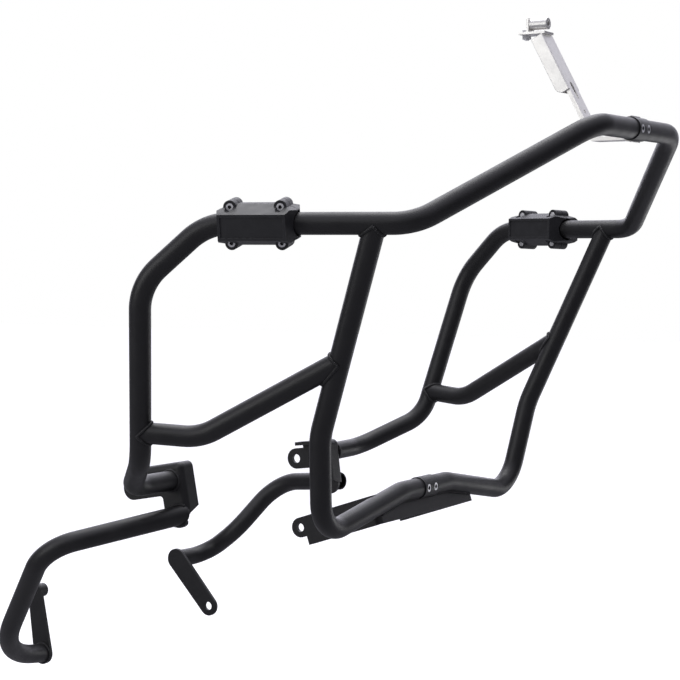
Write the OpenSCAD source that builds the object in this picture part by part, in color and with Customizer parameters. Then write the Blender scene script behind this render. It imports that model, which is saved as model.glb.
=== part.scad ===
// Crash bars for a motorcycle: two bent tube frames joined by bolted couplers on the
// centre plane, with frame brackets, an engine bracket, plastic sliders and a top stay.
// Millimetres. X is across the bike (left side positive), Y runs rearward, Z is up.
// The origin is the middle of the engine bolt that passes through the engine bracket.

/* [Tubes] */
// Outer diameter of the steel tube
tube_d = 25.4; // [19:0.1:32]
// Wall of the steel tube
tube_wall = 2; // [1.2:0.1:3]
// Gap left for the weld where a tube is cut to fit another
weld_gap = 0.12; // [0.05:0.01:0.3]
// How far a weld swells a cut tube end
weld_swell = 2.4; // [1:0.1:4]
// How much fuller a bend or a round end is than the straight that runs into it
round_step = 0.04; // [0.02:0.01:0.1]
// How far each straight runs on into a bend
bend_lap = 0.6; // [0.3:0.1:1]

/* [Main tubes] */
// Half width where the top tube turns back
top_half = 118.5; // [90:0.5:150]
// Forward reach of the top tube
top_y = -393.5; // [-420:0.5:-360]
// Height of the top tube
top_z = 491.6; // [450:0.5:520]
// Front end of the side rail, out from the middle
rail_front_x = 306.2; // [270:0.5:330]
// Front end of the side rail, fore and aft
rail_front_y = -263.7; // [-300:0.5:-230]
// Height of the front end of the side rail
rail_front_z = 377.1; // [350:0.5:400]
// Rear end of the side rail, out from the middle
rail_rear_x = 375.1; // [340:0.5:400]
// Rear end of the side rail, fore and aft
rail_rear_y = -36.6; // [-60:0.5:-10]
// Height of the rear end of the side rail
rail_rear_z = 377.7; // [350:0.5:400]
// Shoulder of the main tube, out from the middle
shoulder_x = 399; // [370:0.5:420]
// Shoulder of the main tube, fore and aft
shoulder_y = 39.4; // [20:0.5:60]
// Height of the shoulder
shoulder_z = 309; // [280:0.5:330]
// Foot of the main tube, out from the middle
foot_x = 345; // [325:0.5:360]
// Foot of the main tube, fore and aft
foot_y = 81.5; // [70:0.5:100]
// Height of the foot
foot_z = 101; // [90:0.5:115]
// Heel of the main tube, out from the middle
heel_x = 273.5; // [262:0.5:285]
// Heel of the main tube, fore and aft
heel_y = 150; // [140:0.5:160]
// Height of the heel
heel_z = 57.5; // [48:0.5:66]
// Where the main tube meets the frame bracket, fore and aft
anchor_y = 149.5; // [140:0.5:160]
// Height where the main tube meets the frame bracket
anchor_z = 57; // [45:0.5:70]
// Bend radius beside the top coupler
top_bend = 70; // [45:1:90]
// Bend radius at the front of the side rail
rail_front_bend = 58; // [40:1:60]
// Bend radius at the rear of the side rail
rail_rear_bend = 72; // [40:1:80]
// Bend radius at the shoulder
shoulder_bend = 72; // [40:1:90]
// Bend radius at the foot
foot_bend = 60; // [40:1:75]
// Bend radius at the heel
heel_bend = 58; // [40:1:80]

/* [Down tubes] */
// Distance of the down tube joint behind the front of the side rail
down_joint = 44; // [38:0.5:70]
// Knee of the down tube, out from the middle
knee_x = 275.9; // [250:0.5:300]
// Knee of the down tube, fore and aft
knee_y = -123.2; // [-150:0.5:-100]
// Height of the knee
knee_z = 133.7; // [110:0.5:160]
// Lower corner of the down tube, out from the middle
corner_x = 246.7; // [225:0.5:270]
// Lower corner of the down tube, fore and aft
corner_y = -107; // [-120:0.5:-90]
// Height of the lower corner
corner_z = 12.7; // [0:0.5:30]
// Half width of the straight run beside the lower coupler
bottom_half = 60; // [50:0.5:80]
// Bottom run, fore and aft
bottom_y = -108; // [-125:0.5:-95]
// Height of the bottom run
bottom_z = 45.2; // [35:0.5:60]
// Bend radius at the knee
knee_bend = 110; // [60:1:150]
// Bend radius at the lower corner
corner_bend = 48; // [35:1:60]
// Bend radius beside the lower coupler
bottom_bend = 60; // [40:1:120]

/* [Cross tubes] */
// How far down the main tube the cross tube joins, as a share of that run
cross_joint_share = 0.832; // [0.6:0.001:0.84]
// Bend of the cross tube, out from the middle
elbow_x = 331; // [310:0.5:350]
// Bend of the cross tube, fore and aft
elbow_y = 5.5; // [-20:0.5:20]
// Height of the bend of the cross tube
elbow_z = 131.8; // [120:0.5:150]
// Where the cross tube joins the down tube, as a share of the upper down tube
cross_end_share = 0.636; // [0.5:0.001:0.75]
// Bend radius of the cross tube
elbow_bend = 70; // [40:1:90]

/* [Rear tubes] */
// Lower end of the left rear tube at the bracket, out from the middle
left_rear_start_x = 206.6; // [203:0.1:208]
// Front end of the left rear tube, fore and aft
left_rear_start_y = 143; // [135:0.5:155]
// Height of the front end of the left rear tube
left_rear_start_z = 13; // [5:0.5:25]
// First bend of the left rear tube, out from the middle
left_rear_bend_x = 244.4; // [225:0.5:260]
// First bend of the left rear tube, fore and aft
left_rear_bend_y = 274.7; // [255:0.5:290]
// Height of the first bend of the left rear tube
left_rear_bend_z = -1; // [-15:0.5:15]
// Second bend of the left rear tube, out from the middle
left_rear_turn_x = 190; // [180:0.5:200]
// Second bend of the left rear tube, fore and aft
left_rear_turn_y = 313.7; // [305:0.5:322]
// Height of the second bend of the left rear tube
left_rear_turn_z = -69.3; // [-80:0.5:-60]
// Last bend of the left rear tube, out from the middle
left_rear_last_x = 194; // [188:0.5:205]
// Last bend of the left rear tube, fore and aft
left_rear_last_y = 372; // [364:0.5:380]
// Height of the last bend of the left rear tube
left_rear_last_z = -111.3; // [-120:0.5:-102]
// Bend radius of the left rear tube, first bend
left_rear_bend = 58; // [40:1:65]
// Bend radius of the left rear tube, second bend
left_rear_turn = 58; // [40:1:80]
// Bend radius of the left rear tube, last bend
left_rear_last = 38; // [30:1:44]
// First bend of the right rear tube, out from the middle
right_rear_bend_x = 319.3; // [300:0.5:335]
// First bend of the right rear tube, fore and aft
right_rear_bend_y = 253.4; // [240:0.5:270]
// Height of the first bend of the right rear tube
right_rear_bend_z = -21.6; // [-35:0.5:-10]
// Second bend of the right rear tube, out from the middle
right_rear_turn_x = 238; // [235:0.5:265]
// Second bend of the right rear tube, fore and aft
right_rear_turn_y = 402; // [385:0.5:412]
// Height of the second bend of the right rear tube
right_rear_turn_z = -189; // [-200:0.5:-180]
// Bend radius of the right rear tube, first bend
right_rear_bend = 55; // [40:1:65]
// Bend radius of the right rear tube, second bend
right_rear_turn = 140; // [60:1:145]

/* [Couplers] */
// Half length of the gap between the top tube ends
top_gap_half = 33; // [28:0.5:40]
// Half length of the gap between the bottom tube ends
bottom_gap_half = 33; // [28:0.5:40]
// Length of the coupler plug inside the tube
plug_len = 28; // [20:0.5:40]
// Width of the full round collar of a coupler
collar_len = 9; // [5:0.5:14]
// Clearance of the plug in the tube, all round
plug_gap = 0.1; // [0.05:0.01:0.3]
// Half length of the thicker pad around the bolts
pad_half = 18; // [15:0.5:22]
// How far the pad stands proud of the tube
pad_rise = 1.3; // [0.6:0.1:2.5]
// Gap between the two coupler halves
lap_gap = 0.1; // [0.05:0.01:0.3]
// Distance between the two coupler bolts
coupler_bolt_pitch = 18; // [15:0.5:22]
// Coupler bolt shank diameter
coupler_bolt_d = 6; // [5:0.5:8]
// Coupler bolt head diameter
coupler_head_d = 10; // [8:0.5:13]
// Coupler bolt head height
coupler_head_h = 5; // [3:0.5:8]

/* [Frame brackets] */
// Sheet thickness of the frame and rear brackets
sheet = 5; // [3:0.1:6]
// Outboard face of the frame bracket, out from the middle
web_x = 196; // [180:0.5:210]
// Frame bolt, fore and aft
frame_hole_y = 208.7; // [195:0.5:220]
// Frame bolt, height
frame_hole_z = 43.2; // [30:0.5:55]
// Tilt of the frame bracket, degrees
frame_tilt = 10.5; // [5:0.1:16]
// Frame bolt hole diameter
frame_hole_d = 13; // [10:0.1:15]
// Radius of the round end at the frame bolt
frame_lobe_r = 15; // [12:0.1:18]
// Height of the top flange above the frame bolt
flange_top = 24.8; // [20:0.1:30]
// Front face of the bracket ahead of the frame bolt
bracket_front = 80; // [70:0.5:90]
// Rear end of the top flange ahead of the frame bolt
flange_rear = 14; // [8:0.5:20]
// Rear edge of the lower leg ahead of the frame bolt
leg_rear = 45; // [40:0.5:50]
// Width of the flanges, sheet included
flange_w = 26; // [18:0.5:34]
// Drop of the front flange below the frame bolt at its free edge
front_drop = 33; // [25:0.5:40]
// Slope of the lower edge of the front flange, degrees
front_slope = 22; // [12:1:32]
// Tilt of the left frame bracket, degrees
left_tilt = 7; // [4:0.1:12]
// Front face of the left bracket ahead of the frame bolt
left_front = 74; // [70:0.5:80]
// Rear edge of the lower leg of the left bracket ahead of the frame bolt
left_leg = 38; // [36:0.5:42]
// Lower lobe of the left bracket ahead of the frame bolt
left_lobe_u = 51.5; // [48:0.5:56]
// Lower lobe of the left bracket below the frame bolt
left_lobe_v = 38.5; // [36:0.5:42]
// Lower lobe ahead of the frame bolt
low_lobe_u = 65; // [60:0.5:75]
// Lower lobe below the frame bolt
low_lobe_v = 42; // [38:0.5:50]
// Radius of the lower lobe
low_lobe_r = 16; // [14:0.1:18]
// Outer fold radius of the sheet
fold_r = 8; // [6:0.1:11]
// Radius of the inner corner under the bracket arm
notch_r = 4.5; // [2:0.1:8]

/* [Engine bracket] */
// Outer face of the engine bracket arms, out from the middle
arm_x = 125; // [115:0.5:135]
// Tilt of the engine bracket, degrees
arm_tilt = 18.5; // [12:0.1:24]
// Engine bolt hole diameter
engine_hole_d = 10.6; // [8:0.1:13]
// Radius of the round arm end
arm_lobe_r = 12.5; // [11:0.1:16]
// Front face of the bracket ahead of the engine bolt
arm_front = 115; // [105:0.5:125]
// Depth of the arms below the engine bolt
arm_drop = 24; // [18:0.5:28]
// Start of the lower lip ahead of the engine bolt
lip_start = 6; // [4:0.5:20]
// Width of the lower lip, sheet included
lip_w = 18; // [12:0.5:26]
// Gap between the lip and the front plate
relief = 6; // [3:0.5:10]

/* [Rear plates] */
// Outboard face of the rear plates, out from the middle
plate_x = 138; // [125:0.5:150]
// Tube end of the left rear plate, fore and aft
left_tube_y = 384.8; // [365:0.5:395]
// Height of the tube end of the left rear plate
left_tube_z = -112.4; // [-130:0.5:-100]
// Bolt end of the left rear plate, fore and aft
left_hole_y = 326.8; // [310:0.5:340]
// Height of the bolt end of the left rear plate
left_hole_z = -177; // [-190:0.5:-160]
// Rear bolt hole diameter
rear_hole_d = 12; // [8:0.1:14]
// Radius of the left plate at the tube end
left_tube_lobe = 15.5; // [13:0.1:17]
// Radius of the left plate at the bolt end
left_hole_lobe = 14.4; // [11:0.1:16]
// Tube end of the right rear plate, fore and aft
right_tube_y = 413; // [400:0.5:425]
// Height of the tube end of the right rear plate
right_tube_z = -205; // [-220:0.5:-190]
// Bolt end of the right rear plate, fore and aft
right_hole_y = 426; // [410:0.5:435]
// Height of the bolt end of the right rear plate
right_hole_z = -121; // [-130:0.5:-105]
// Radius of the right plate at the tube end
right_tube_lobe = 15; // [13:0.1:17]
// Radius of the right plate at the bolt end
right_hole_lobe = 11.5; // [10:0.1:16]
// Spacer diameter
spacer_d = 18.6; // [15:0.1:24]
// Spacer length
spacer_len = 14; // [8:0.5:24]
// Spacer bore
spacer_bore = 10.5; // [8:0.1:13]

/* [Sliders] */
// Length of a slider along the tube
slider_len = 92; // [80:0.5:125]
// Length of the flat outer face
slider_face_len = 78; // [60:0.5:105]
// Distance of the flat face from the tube axis
slider_depth = 31; // [24:0.5:45]
// Height of the flat face
slider_face_h = 29; // [20:0.5:40]
// Height of the body at its two ends
slider_end_h = 32; // [30:0.5:40]
// Height of the body at the split
slider_body_h = 46; // [38:0.5:56]
// Radius of the bolt ears
ear_r = 7.6; // [6:0.1:10]
// Distance of the bolts from the tube axis
slider_bolt_out = 20.2; // [18:0.1:24]
// Distance of the bolts from the slider middle
slider_bolt_along = 29; // [24:0.5:40]
// Slider bolt shank diameter
slider_bolt_d = 5; // [4:0.5:6]
// Slider bolt head diameter
slider_head_d = 8.5; // [7:0.1:10]
// Slider bolt head height
slider_head_h = 4.4; // [3:0.1:6]
// Distance of the head seat from the split
slider_seat = 9; // [6:0.5:14]
// Depth of the panel sunk in the flat face
panel_depth = 1.3; // [0.4:0.1:2]
// Rim left around the sunk panel
panel_rim = 3; // [2:0.1:6]
// Right slider, distance behind the front of the side rail
right_slider_at = 176.5; // [140:0.5:185]
// Left slider, distance behind the front of the side rail
left_slider_at = 160.5; // [140:0.5:180]
// Turn of the right slider on its tube, degrees
right_slider_roll = 10; // [-20:0.5:20]
// Turn of the left slider on its tube, degrees
left_slider_roll = 2; // [-20:0.5:20]
// Clearance of the clamping bore on the tube
clamp_gap = 0.1; // [0.05:0.01:0.3]
// Half length of the clamping land
land_half = 28; // [15:0.5:40]
// Extra bore radius outside the clamping land
bore_relief = 2.2; // [1:0.1:4]
// Half of the gap between the slider halves
split_half = 0.4; // [0.1:0.05:1]

/* [Top stay] */
// Lean of the stay from upright, degrees
stay_lean = 28; // [20:0.5:36]
// Width of the slotted bar
bar_w = 26; // [18:0.5:34]
// Thickness of the slotted bar
bar_t = 5; // [3:0.1:7]
// Lower bend of the bar behind the axis of the top tube
bar_reach = 48.5; // [40:0.5:60]
// Lower bend of the bar below the axis of the top tube
bar_drop = 8.1; // [2:0.1:14]
// Start of the slot above the lower bend
slot_start = 57; // [50:0.5:70]
// Length of the slot
slot_len = 23.5; // [20:0.5:45]
// Width of the slot
slot_w = 6.6; // [5:0.1:9]
// Small hole above the lower bend
small_hole_at = 36; // [25:0.5:45]
// Small hole diameter
small_hole_d = 5; // [3:0.1:7]
// Lower end of the channel above the lower bend
channel_start = 66.5; // [60:0.5:90]
// Length of the channel
channel_len = 77.5; // [65:0.5:90]
// Depth of the channel sides
channel_depth = 16; // [12:0.5:30]
// Sheet thickness of the channel
channel_t = 2.5; // [1.5:0.1:3]
// Thickness of the saddle round the top tube
saddle_t = 3; // [2:0.1:5]
// Width of the saddle along the tube
saddle_w = 30; // [20:0.5:40]
// Length of the level tab on top of the channel
tab_len = 35; // [30:0.5:55]
// Thickness of the tab and the clip
tab_t = 3; // [2:0.1:5]
// Height of the upright plate of the clip
clip_h = 19.5; // [14:0.5:28]
// Diameter of the bushing on the clip
bushing_d = 14.5; // [9:0.5:18]
// Front face of the upright plate behind the front of the tab
plate_at = 18.5; // [14:0.5:19]
// Length of the bushing
bushing_len = 23; // [14:0.5:30]
// Bushing bore
bushing_bore = 6.4; // [5:0.1:9]

/* [Hidden] */
$fn = 48;

tube_r = tube_d / 2;
bore_r = tube_r - tube_wall;
over = tube_d / 12;
far = tube_d * 40;

// Colours
coat = [0.13, 0.13, 0.14];
plastic = [0.16, 0.16, 0.18];
silver = [0.82, 0.83, 0.84];

// Middle of the lower lobe of the frame bracket
low_y = frame_hole_y - low_lobe_u * cos(frame_tilt) - low_lobe_v * sin(frame_tilt);
low_z = frame_hole_z + low_lobe_u * sin(frame_tilt) - low_lobe_v * cos(frame_tilt);

// Points along the tubes, left side
A1 = [top_half, top_y, top_z];
A2 = [rail_front_x, rail_front_y, rail_front_z];
A3 = [rail_rear_x, rail_rear_y, rail_rear_z];
A4 = [shoulder_x, shoulder_y, shoulder_z];
A5 = [foot_x, foot_y, foot_z];
A6 = [heel_x, heel_y, heel_z];
A7 = [web_x, anchor_y, anchor_z];
A0 = [top_gap_half, top_y, top_z];
rail_dir = unit(A3 - A2);
B1 = A2 + down_joint * rail_dir;
B2 = [knee_x, knee_y, knee_z];
B3 = [corner_x, corner_y, corner_z];
B4 = [bottom_half, bottom_y, bottom_z];
B5 = [bottom_gap_half, bottom_y, bottom_z];
C0 = A4 + cross_joint_share * (A5 - A4);
C1 = [elbow_x, elbow_y, elbow_z];
C2 = B1 + cross_end_share * (B2 - B1);
D0 = [left_rear_start_x, left_rear_start_y, left_rear_start_z];
D1 = [left_rear_bend_x, left_rear_bend_y, left_rear_bend_z];
D2 = [left_rear_turn_x, left_rear_turn_y, left_rear_turn_z];
D3 = [left_rear_last_x, left_rear_last_y, left_rear_last_z];
D4 = [plate_x, left_tube_y, left_tube_z];
E0 = [web_x, low_y, low_z];
E1 = [right_rear_bend_x, right_rear_bend_y, right_rear_bend_z];
E2 = [right_rear_turn_x, right_rear_turn_y, right_rear_turn_z];
E3 = [plate_x, right_tube_y, right_tube_z];
function unit(v) = v / norm(v);
function any_side(d) = abs(d[2]) < 0.9 ? unit(cross(d, [0, 0, 1])) : unit(cross(d, [1, 0, 0]));
function frame_of(p, x, y, z) = [
    [x[0], y[0], z[0], p[0]],
    [x[1], y[1], z[1], p[1]],
    [x[2], y[2], z[2], p[2]],
    [0, 0, 0, 1]];
function turn_between(a, b) = acos(unit(a) * unit(b));
function setback(pts, radii, i) = i <= 0 || i >= len(pts) - 1 ? 0
    : radii[i - 1] * tan(turn_between(pts[i] - pts[i - 1], pts[i + 1] - pts[i]) / 2);

// Stand the children on point p with their Z along direction d
module along(p, d) {
    z = unit(d);
    x = any_side(z);
    multmatrix(frame_of(p, x, cross(z, x), z)) children();
}

// One round bar through the points, with a true bend at each inner point
module tube_run(pts, radii, r, extra) {
    n = len(pts);
    for (i = [0 : n - 2]) {
        d = unit(pts[i + 1] - pts[i]);
        a = i == 0 ? -extra : setback(pts, radii, i) - bend_lap;
        b = i == n - 2 ? -extra : setback(pts, radii, i + 1) - bend_lap;
        along(pts[i] + a * d, d)
            cylinder(h = norm(pts[i + 1] - pts[i]) - a - b, r = r);
    }
    if (n > 2) for (i = [1 : n - 2]) {
        d1 = unit(pts[i] - pts[i - 1]);
        d2 = unit(pts[i + 1] - pts[i]);
        inward = unit(d2 - (d1 * d2) * d1);
        centre = pts[i] - setback(pts, radii, i) * d1 + radii[i - 1] * inward;
        multmatrix(frame_of(centre, -inward, d1, cross(-inward, d1)))
            rotate_extrude(angle = turn_between(d1, d2)) translate([radii[i - 1], 0])
                circle(r = r + round_step);
    }
}

// Room taken by a straight piece of another tube, centred on p
module passing_tube(p, d, grow) {
    along(p - unit(d) * tube_d * 1.6, d) cylinder(h = tube_d * 3.2, r = tube_r + grow);
}

// Everything on the inner side of a flat plate face, from one place rearward
module inside_of(x, from_y) {
    translate([x - far, from_y, -far / 2]) cube([far, far, far]);
}

module mirrored() {
    mirror([1, 0, 0]) children();
}

// Main tube from the top coupler round to the frame bracket
module main_tube() {
    pts = [A0, A1, A2, A3, A4, A5, A6, A7 + unit(A7 - A6) * tube_r];
    bends = [top_bend, rail_front_bend, rail_rear_bend, shoulder_bend, foot_bend, heel_bend];
    difference() {
        tube_run(pts, bends, tube_r, 0);
        tube_run(pts, bends, bore_r, over);
        inside_of(web_x, foot_y);
    }
}

// Down tube from the side rail to the lower coupler
module down_tube() {
    pts = [B1, B2, B3, B4, B5];
    bends = [knee_bend, corner_bend, bottom_bend];
    difference() {
        union() {
            tube_run(pts, bends, tube_r, 0);
            translate(B1 + unit(B2 - B1) * tube_r * 0.72) sphere(r = tube_r + weld_swell);
        }
        tube_run(pts, bends, bore_r, over);
        passing_tube(B1, rail_dir, weld_gap);
    }
}

// Cross tube between the main tube and the down tube
module cross_tube() {
    pts = [C0, C1, C2];
    difference() {
        union() {
            tube_run(pts, [elbow_bend], tube_r, 0);
            translate(C0 + unit(C1 - C0) * tube_r * 0.72) sphere(r = tube_r + weld_swell);
            translate(C2 + unit(C1 - C2) * tube_r * 0.72) sphere(r = tube_r + weld_swell);
        }
        tube_run(pts, [elbow_bend], bore_r, 0);
        passing_tube(C0, A5 - A4, weld_gap);
        passing_tube(C2, B2 - B1, weld_gap);
    }
}

// Rear tube of the left side, its front end flat against the bracket
module left_rear() {
    pts = [D0, D1, D2, D3, D4 + unit(D4 - D3) * tube_r];
    bends = [left_rear_bend, left_rear_turn, left_rear_last];
    difference() {
        tube_run(pts, bends, tube_r, 0);
        tube_run(pts, bends, bore_r, over);
        difference() {
            inside_of(web_x, 0);
            inside_of(web_x, D1[1]);
        }
        inside_of(plate_x, 0);
    }
}

// Rear tube of the right side, drawn as if on the left
module right_rear() {
    pts = [E0 - unit(E1 - E0) * tube_r, E1, E2, E3 + unit(E3 - E2) * tube_r];
    bends = [right_rear_bend, right_rear_turn];
    difference() {
        tube_run(pts, bends, tube_r, 0);
        tube_run(pts, bends, bore_r, over);
        difference() {
            inside_of(web_x, 0);
            inside_of(web_x, E1[1]);
        }
        inside_of(plate_x, 0);
    }
}

// Bracket frame: u runs rearward along the arm, v up, w out from the middle
module in_bracket(y, z, tilt) {
    translate([0, y, z]) rotate([-tilt, 0, 0]) children();
}

// Sheet silhouette of the frame bracket web, u and v, extruded outward
module web_sheet(front, leg, lobe_v) {
    rotate([90, 0, 90]) linear_extrude(sheet) union() {
        translate([-front + fold_r, -frame_lobe_r]) square([front - fold_r, 2 * frame_lobe_r]);
        translate([-front + fold_r, -frame_lobe_r])
            square([front - fold_r - flange_rear, frame_lobe_r + flange_top - fold_r]);
        translate([-front + fold_r, -lobe_v]) square([front - fold_r - leg, lobe_v]);
        difference() {
            translate([-leg, -frame_lobe_r - notch_r]) square([notch_r, notch_r]);
            translate([-leg + notch_r, -frame_lobe_r - notch_r]) circle(r = notch_r);
        }
    }
}

module frame_bracket(tilt, front, leg, lobe_u, lobe_v) {
    u0 = -front;
    in_bracket(frame_hole_y, frame_hole_z, tilt) difference() {
        union() {
            translate([web_x - sheet, 0, 0]) web_sheet(front, leg, lobe_v);
            translate([web_x - sheet, 0, 0]) rotate([0, 90, 0])
                cylinder(h = sheet, r = frame_lobe_r);
            translate([web_x - sheet, -lobe_u, -lobe_v]) rotate([0, 90, 0])
                cylinder(h = sheet, r = low_lobe_r);
            // top flange and its fold
            translate([web_x - flange_w, u0 + fold_r, flange_top - sheet])
                cube([flange_w - fold_r, front - fold_r - flange_rear, sheet]);
            translate([web_x - fold_r, -flange_rear, flange_top - fold_r]) rotate([90, 0, 0])
                quarter_fold(front - fold_r - flange_rear);
            // front flange and its fold
            translate([web_x - flange_w, u0, -lobe_v])
                cube([flange_w - fold_r, sheet, lobe_v + flange_top - fold_r]);
            translate([web_x - fold_r, u0 + fold_r, -lobe_v]) mirror([0, 1, 0])
                quarter_fold(lobe_v + flange_top - fold_r);
            // closed corner between the flanges
            translate([web_x - flange_w, u0 + fold_r, flange_top - fold_r]) rotate([0, 90, 0])
                rotate([0, 0, 180]) quarter_fold(flange_w - fold_r);
            corner_ball(u0);
        }
        rotate([0, 90, 0]) cylinder(h = far, r = frame_hole_d / 2);
        // sloping lower edge of the front flange
        translate([web_x - flange_w, u0 - fold_r, -front_drop]) rotate([0, front_slope, 0])
            translate([-flange_w, 0, -flange_w]) cube([flange_w * 2.2, fold_r + sheet, flange_w]);
    }
}

// A quarter of a folded sheet edge, standing along Z, its outside towards +X +Y
module quarter_fold(h) {
    difference() {
        intersection() {
            cylinder(h = h, r = fold_r);
            cube([fold_r, fold_r, h]);
        }
        translate([0, 0, -sheet]) cylinder(h = h + 2 * sheet, r = fold_r - sheet);
    }
}

module corner_ball(u0) {
    translate([web_x - fold_r, u0 + fold_r, flange_top - fold_r]) difference() {
        intersection() {
            sphere(r = fold_r);
            translate([0, -fold_r, 0]) cube([fold_r, fold_r, fold_r]);
        }
        sphere(r = fold_r - sheet);
    }
}

// Folded bracket under the bottom run, open to the rear
module engine_bracket_shape() {
    u1 = -arm_front;
    in_bracket(0, 0, arm_tilt) difference() {
        intersection() {
            union() {
                // arms
                translate([arm_x - sheet, u1 + fold_r, -arm_drop])
                    cube([sheet, arm_front - fold_r + arm_lobe_r, arm_drop + arm_lobe_r]);
                translate([-arm_x, u1 + fold_r, -arm_drop])
                    cube([sheet, arm_front - fold_r + arm_lobe_r, arm_drop + arm_lobe_r]);
                // front plate
                translate([-arm_x + fold_r, u1, -arm_drop])
                    cube([2 * (arm_x - fold_r), sheet, arm_drop + arm_lobe_r]);
                // folds
                translate([arm_x - fold_r, u1 + fold_r, -arm_drop]) mirror([0, 1, 0])
                    quarter_fold(arm_drop + arm_lobe_r);
                translate([-arm_x + fold_r, u1 + fold_r, -arm_drop]) rotate([0, 0, 180])
                    quarter_fold(arm_drop + arm_lobe_r);
                // lower lips
                translate([arm_x - lip_w, u1 + fold_r + relief, -arm_drop])
                    cube([lip_w, arm_front - fold_r - relief - lip_start, sheet]);
                translate([-arm_x, u1 + fold_r + relief, -arm_drop])
                    cube([lip_w, arm_front - fold_r - relief - lip_start, sheet]);
            }
            union() {
                rotate([0, 90, 0]) translate([0, 0, -arm_x - sheet])
                    cylinder(h = 2 * (arm_x + sheet), r = arm_lobe_r);
                translate([-arm_x - sheet, u1 - sheet, -arm_lobe_r])
                    cube([2 * (arm_x + sheet), arm_front + sheet, 2 * arm_lobe_r]);
                translate([-arm_x - sheet, u1 - sheet, -arm_drop - sheet])
                    cube([2 * (arm_x + sheet), arm_front + sheet - lip_start, arm_drop]);
            }
        }
        rotate([0, 90, 0]) translate([0, 0, -arm_x - sheet])
            cylinder(h = 2 * (arm_x + sheet), r = engine_hole_d / 2);
    }
}

module engine_bracket() {
    color(coat) difference() {
        engine_bracket_shape();
        passing_bottom();
        mirrored() passing_bottom();
        translate([-bottom_half, bottom_y, bottom_z]) rotate([0, 90, 0])
            cylinder(h = 2 * bottom_half, r = tube_r + pad_rise + weld_gap);
    }
}

module passing_bottom() {
    tube_run([B3 + unit(B2 - B3) * tube_d * 3, B3, B4, B5], [corner_bend, bottom_bend],
        tube_r + weld_gap, over);
}

// Flat plate between a tube end and a bolt
module link_plate(y1, z1, r1, y2, z2, r2, hole) {
    difference() {
        hull() {
            plate_end(y1, z1, r1);
            plate_end(y2, z2, r2);
        }
        translate([plate_x - 2 * sheet, y2, z2]) rotate([0, 90, 0])
            cylinder(h = 3 * sheet, r = hole / 2);
    }
}

module plate_end(y, z, r) {
    translate([plate_x - sheet, y, z]) rotate([0, 90, 0]) cylinder(h = sheet, r = r, $fn = 72);
}

// Coupler half: plug, collar and a half round tongue on one side
module coupler(gap_half, y, z, front) {
    s = front ? 1 : -1;
    tongue = gap_half - collar_len;
    translate([0, y, z]) difference() {
        union() {
            translate([gap_half, 0, 0]) rotate([0, 90, 0])
                cylinder(h = plug_len, r = bore_r - plug_gap);
            translate([gap_half - collar_len, 0, 0]) rotate([0, 90, 0])
                cylinder(h = collar_len, r = tube_r);
            intersection() {
                union() {
                    translate([-tongue + lap_gap, 0, 0]) rotate([0, 90, 0])
                        cylinder(h = 2 * tongue - lap_gap, r = tube_r);
                    translate([-pad_half, 0, 0]) rotate([0, 90, 0])
                        cylinder(h = 2 * pad_half, r = tube_r + pad_rise);
                }
                translate([-far / 2, front ? -far - lap_gap : lap_gap, -far / 2])
                    cube([far, far, far]);
            }
        }
        for (x = [-coupler_bolt_pitch / 2, coupler_bolt_pitch / 2]) translate([x, 0, 0]) {
            rotate([90, 0, 0]) translate([0, 0, -far / 2]) cylinder(h = far, r = coupler_bolt_d / 2);
            rotate([90, 0, 0]) translate([0, 0, head_seat])
                cylinder(h = far / 2, r = coupler_head_d / 2 + plug_gap);
        }
    }
}
head_seat = tube_r + pad_rise - coupler_head_h - pad_rise * 0.5;

module coupler_bolt_set(y, z) {
    for (x = [-coupler_bolt_pitch / 2, coupler_bolt_pitch / 2])
        translate([x, y, z]) rotate([90, 0, 0]) difference() {
            union() {
                translate([0, 0, head_seat]) cylinder(h = coupler_head_h, r = coupler_head_d / 2);
                translate([0, 0, -tube_r * 0.8])
                    cylinder(h = tube_r * 0.8 + head_seat, r = coupler_bolt_d / 2);
            }
            translate([0, 0, head_seat + coupler_head_h * 0.45])
                cylinder(h = coupler_head_h, r = coupler_bolt_d * 0.46, $fn = 6);
        }
}

// Slider frame: X along the tube, Y up, Z out from the bike
module on_rail(at, roll) {
    out = unit(cross(rail_dir, [0, 0, 1]));
    up = cross(out, rail_dir);
    multmatrix(frame_of(A2 + at * rail_dir, rail_dir, up, out)) rotate([roll, 0, 0]) children();
}

module at_slider_bolts() {
    for (x = [-slider_bolt_along, slider_bolt_along], y = [-slider_bolt_out, slider_bolt_out])
        translate([x, y, 0]) children();
}

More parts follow.
